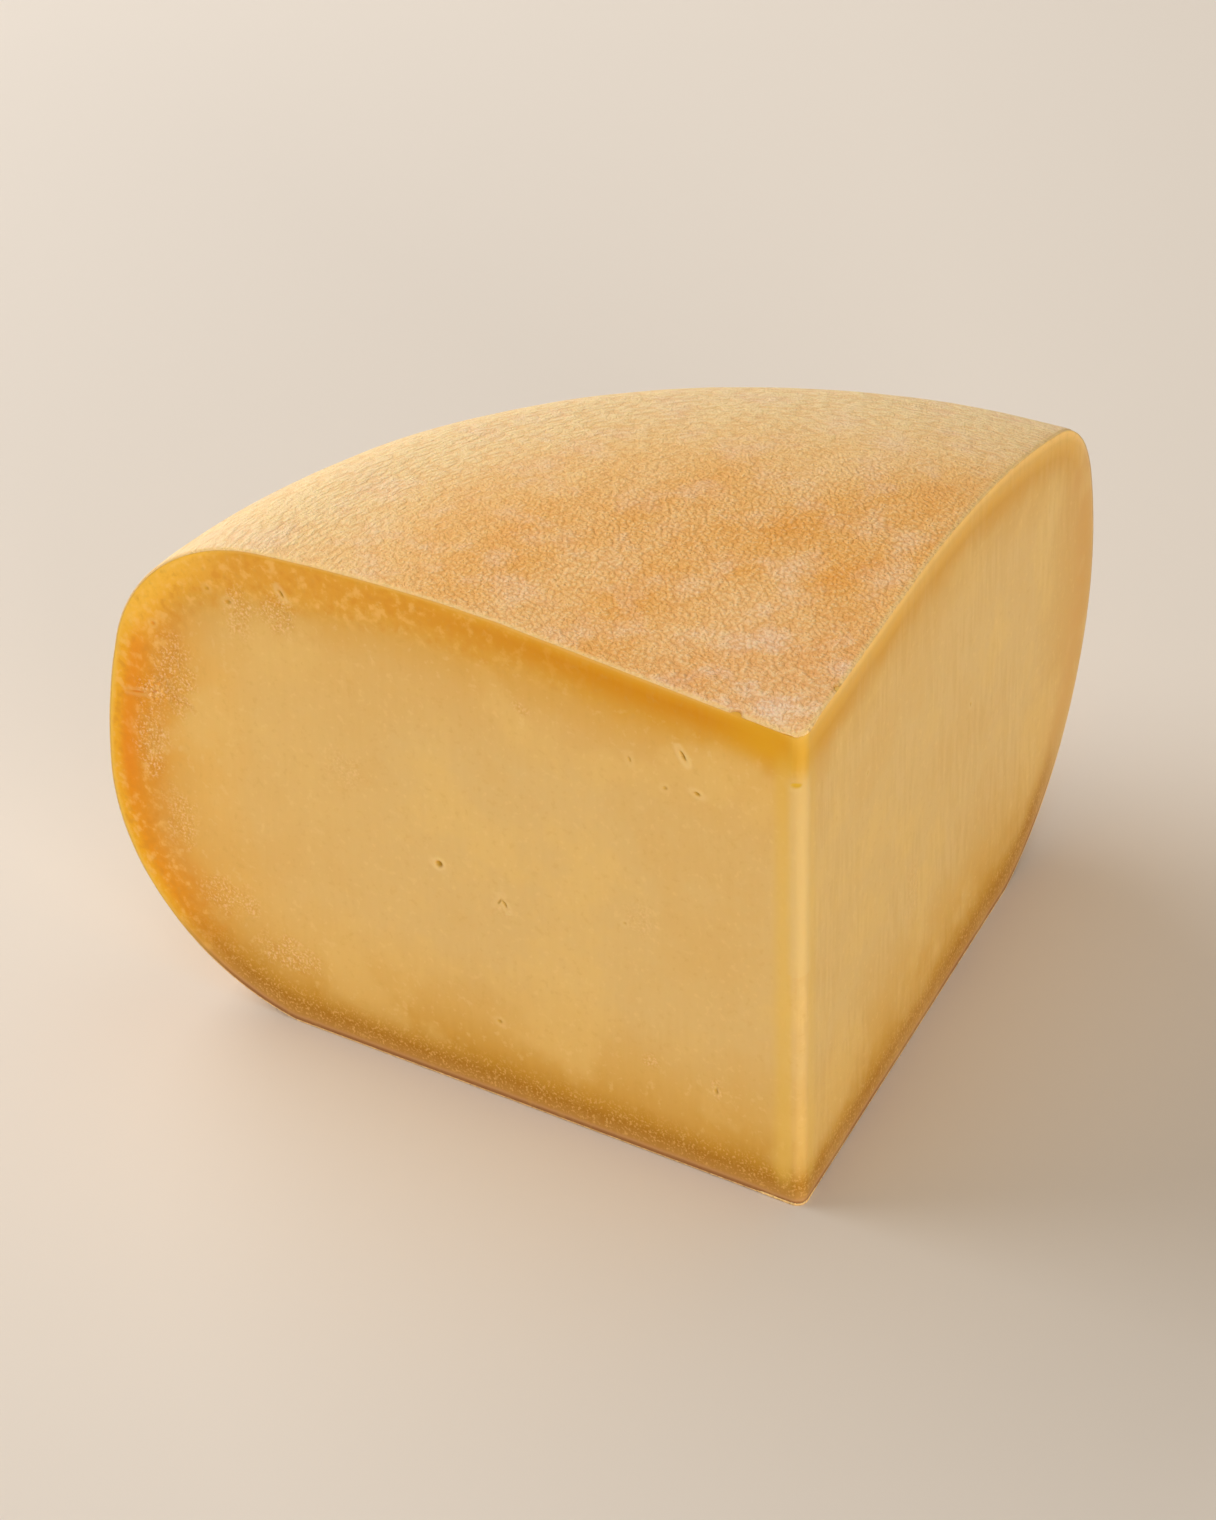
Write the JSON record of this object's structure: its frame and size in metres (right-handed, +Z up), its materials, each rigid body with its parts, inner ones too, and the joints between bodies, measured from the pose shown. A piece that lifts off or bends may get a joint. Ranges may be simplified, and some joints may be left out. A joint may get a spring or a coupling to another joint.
{
  "type": "gouda quarter wheel",
  "caption": "Wedge of about a quarter cut from a whole wheel of gouda cheese, two flat cut faces and a rounded rind, standing on its underside.",
  "frame": {"origin": "below the middle of the bounding box, on the surface that the wedge stands on", "axes": "+Z up; the upright edge where the two cut faces meet points to -Y, the rind to +Y; +X to the right seen from the edge"},
  "size_m": [0.2202, 0.1654, 0.1231],
  "materials": {
    "cheese": "satin"
  },
  "bodies": {
    "root": {"gouda_wedge": "cheese"}
  },
  "joints": []
}
